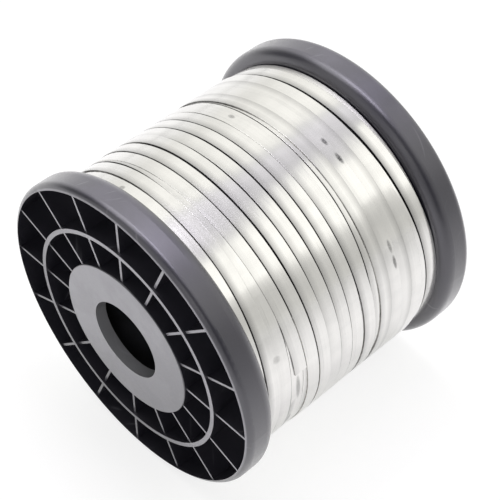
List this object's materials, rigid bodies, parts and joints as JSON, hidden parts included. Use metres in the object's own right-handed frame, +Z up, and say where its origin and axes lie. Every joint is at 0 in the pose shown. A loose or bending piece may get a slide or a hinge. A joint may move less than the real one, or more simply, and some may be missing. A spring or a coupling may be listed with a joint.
{
  "type": "spool of resistance ribbon",
  "caption": "Black moulded spool with ribbed flanges and a spindle bore, wound full with bright flat resistance ribbon, lying on its rims.",
  "frame": {"origin": "on the floor under the middle of the spool, which lies on its two rims", "axes": "+Z up, +Y along the spool's axis from the front flange to the back flange, +X to the right of the front flange"},
  "size_m": [0.11, 0.099, 0.11],
  "materials": {
    "spool_plastic": "satin black moulded",
    "tube_plastic": "satin black extruded",
    "ribbon_metal": "bright rolled, satin along the ribbon"
  },
  "bodies": {
    "root": {"front_flange": "spool_plastic", "back_flange": "spool_plastic", "core_tube": "tube_plastic", "wire_winding": "ribbon_metal"}
  },
  "joints": []
}
